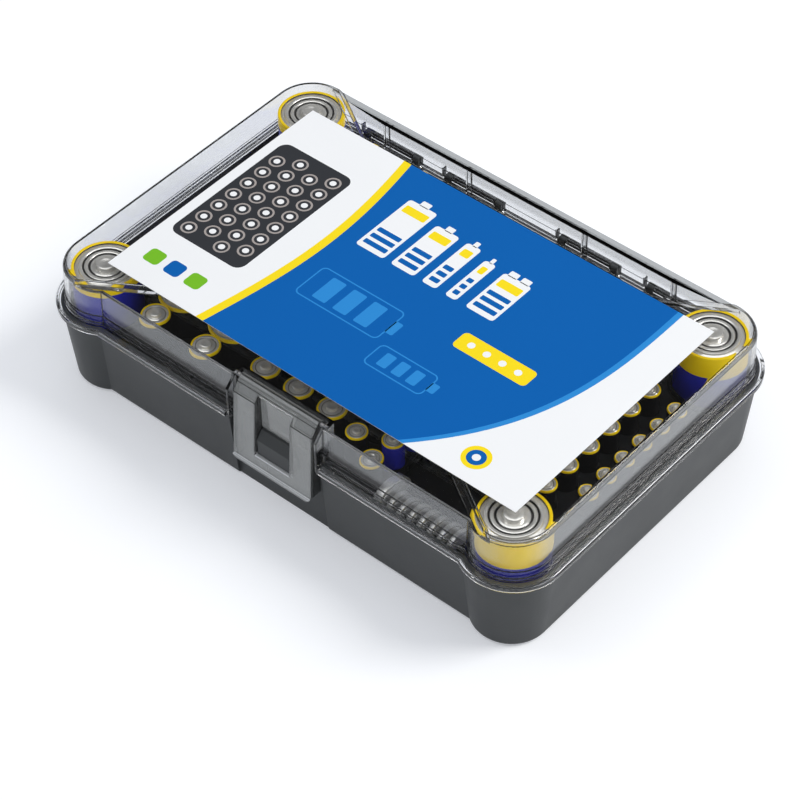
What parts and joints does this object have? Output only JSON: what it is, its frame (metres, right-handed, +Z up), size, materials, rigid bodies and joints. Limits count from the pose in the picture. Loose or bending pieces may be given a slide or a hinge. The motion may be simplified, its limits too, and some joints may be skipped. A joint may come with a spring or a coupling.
{
  "type": "battery organiser case",
  "caption": "Flat dark case with a clear hinged lid and a flip latch, holding upright round cells, block batteries and coin cells in wells.",
  "frame": {"origin": "on the ground under the middle of the closed case", "axes": "+X along the case's length, -Y towards the latch, +Z up"},
  "size_m": [0.295, 0.195, 0.07],
  "materials": {
    "base_plastic": "satin",
    "tray_plastic": "satin",
    "lid_clear": "gloss",
    "latch_clear": "gloss",
    "printed_card": "satin",
    "large_jacket": "gloss",
    "dark_jacket": "gloss",
    "block_jacket": "gloss",
    "cell_steel": "satin",
    "snap_metal": "satin",
    "coin_steel": "polished",
    "pin_steel": "satin"
  },
  "bodies": {
    "base": {"base_shell": "base_plastic", "main_tray": "tray_plastic", "coin_rack": "tray_plastic", "bin_rack": "tray_plastic", "end_rack": "tray_plastic", "spare_rack": "tray_plastic", "corner_rack": "tray_plastic", "d_cells": "large_jacket", "c_cells": "dark_jacket", "aa_cells": "dark_jacket", "aaa_cells": "dark_jacket", "end_aaa_cells": "dark_jacket", "aaaa_cells": "dark_jacket", "nine_volt_blocks": "block_jacket", "d_cell_caps": "cell_steel", "c_cell_caps": "cell_steel", "aa_cell_caps": "cell_steel", "aaa_cell_caps": "cell_steel", "end_aaa_cell_caps": "cell_steel", "aaaa_cell_caps": "cell_steel", "nine_volt_snaps": "snap_metal", "coin_cells": "coin_steel", "hinge_rods": "pin_steel"},
    "lid": {"lid_shell": "lid_clear", "label_card": "printed_card", "latch_pin": "pin_steel"},
    "latch": {"latch_plate": "latch_clear"}
  },
  "joints": [
    {"name": "lid_hinge", "type": "hinge", "parent": "base", "child": "lid", "pos_m": [0, 0.0954, 0.0472], "axis": [-1, 0, 0], "range_deg": [0, 180]},
    {"name": "latch_hinge", "type": "hinge", "parent": "lid", "child": "latch", "pos_m": [0, -0.0852, 0.0658], "axis": [-1, 0, 0], "range_deg": [0, 100]}
  ]
}
